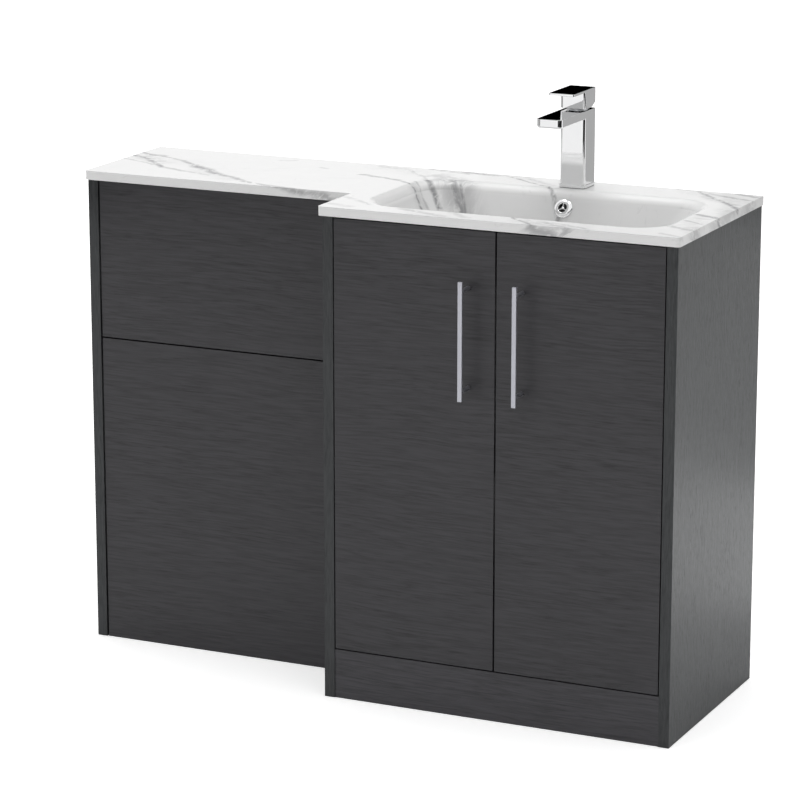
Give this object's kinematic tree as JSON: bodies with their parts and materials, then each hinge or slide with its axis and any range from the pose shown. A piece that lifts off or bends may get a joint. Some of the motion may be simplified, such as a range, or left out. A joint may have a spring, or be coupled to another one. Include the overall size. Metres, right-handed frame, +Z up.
{
  "type": "toilet and basin combination unit",
  "caption": "Floor-standing charcoal toilet cabinet and deeper two-door basin cabinet under one stepped marble-effect worktop with a cast-in bowl and a square lever tap.",
  "frame": {"origin": "on the floor at the centre of the bounding box", "axes": "+X along the wall from the toilet side to the basin side, +Y towards the wall, +Z up; the front faces -Y"},
  "size_m": [1.105, 0.4166, 0.9765],
  "materials": {
    "charcoal_board": "matt foil with a fine woodgrain",
    "carcass_board": "matt foil",
    "marble": "glossy cast marble with grey veins",
    "chrome": "polished",
    "satin_metal": "satin",
    "white_plastic": "smooth",
    "black_rubber": "matt",
    "zinc_plated": "bright zinc plate"
  },
  "bodies": {
    "cabinet": {"worktop_basin": "marble", "overflow_cover": "chrome", "waste_body": "chrome", "waste_seal": "black_rubber", "waste_washer": "black_rubber", "waste_backnut": "white_plastic", "trap_inlet_nut": "white_plastic", "trap_body": "white_plastic", "trap_bottle": "white_plastic", "trap_outlet_nut": "white_plastic", "trap_outlet_pipe": "white_plastic", "tap_body": "chrome", "tap_gasket": "black_rubber", "tap_aerator": "satin_metal", "tap_cartridge": "white_plastic", "tap_cartridge_nut": "zinc_plated", "tap_shank": "zinc_plated", "tap_washer": "black_rubber", "tap_backnut": "zinc_plated", "wc_left_side": "charcoal_board", "wc_right_side": "charcoal_board", "wc_lower_panel": "charcoal_board", "wc_top_rail": "carcass_board", "wc_mid_rail": "carcass_board", "wc_foot_rail": "carcass_board", "wc_upper_back_rail": "carcass_board", "wc_lower_back_rail": "carcass_board", "panel_clip_sockets": "white_plastic", "panel_screws": "zinc_plated", "vanity_left_side": "charcoal_board", "vanity_right_side": "charcoal_board", "vanity_base": "carcass_board", "vanity_plinth": "charcoal_board", "vanity_front_rail": "carcass_board", "vanity_upper_back_rail": "carcass_board", "vanity_lower_back_rail": "carcass_board", "vanity_shelf": "carcass_board", "shelf_pins": "zinc_plated", "hinge_arms": "zinc_plated", "hinge_pins": "satin_metal", "hinge_plates": "zinc_plated", "door_bumpers": "black_rubber", "cam_discs": "zinc_plated", "cam_bolts": "zinc_plated", "unit_joining_sleeves": "zinc_plated", "unit_joining_screws": "zinc_plated"},
    "left_door_leaf": {"left_door": "charcoal_board", "left_handle_bar": "satin_metal", "left_handle_screws": "zinc_plated", "left_hinge_cups": "zinc_plated"},
    "right_door_leaf": {"right_door": "charcoal_board", "right_handle_bar": "satin_metal", "right_handle_screws": "zinc_plated", "right_hinge_cups": "zinc_plated"},
    "access_panel": {"wc_access_panel": "charcoal_board", "panel_clip_studs": "white_plastic"},
    "tap_spindle": {"tap_stem": "zinc_plated"},
    "tap_handle": {"tap_lever": "chrome", "tap_lever_pin": "zinc_plated"},
    "plug": {"waste_plug": "chrome"}
  },
  "joints": [
    {"name": "left_door_hinge", "type": "hinge", "parent": "cabinet", "child": "left_door_leaf", "pos_m": [-0.03, -0.17275, 0.44], "axis": [0, 0, -1], "range_deg": [0, 105]},
    {"name": "right_door_hinge", "type": "hinge", "parent": "cabinet", "child": "right_door_leaf", "pos_m": [0.53, -0.17275, 0.44], "axis": [0, 0, 1], "range_deg": [0, 105]},
    {"name": "access_panel_pull", "type": "slide", "parent": "cabinet", "child": "access_panel", "axis": [0, -1, 0], "range_m": [0, 0.06]},
    {"name": "tap_swivel", "type": "hinge", "parent": "cabinet", "child": "tap_spindle", "pos_m": [0.24725, 0.16275, 0.951], "axis": [0, 0, 1], "range_deg": [-45, 45]},
    {"name": "tap_lift", "type": "hinge", "parent": "tap_spindle", "child": "tap_handle", "pos_m": [0.24725, 0.16275, 0.951], "axis": [-1, 0, 0], "range_deg": [0, 22]},
    {"name": "plug_travel", "type": "slide", "parent": "cabinet", "child": "plug", "axis": [0, 0, 1], "range_m": [0, 0.008]}
  ]
}
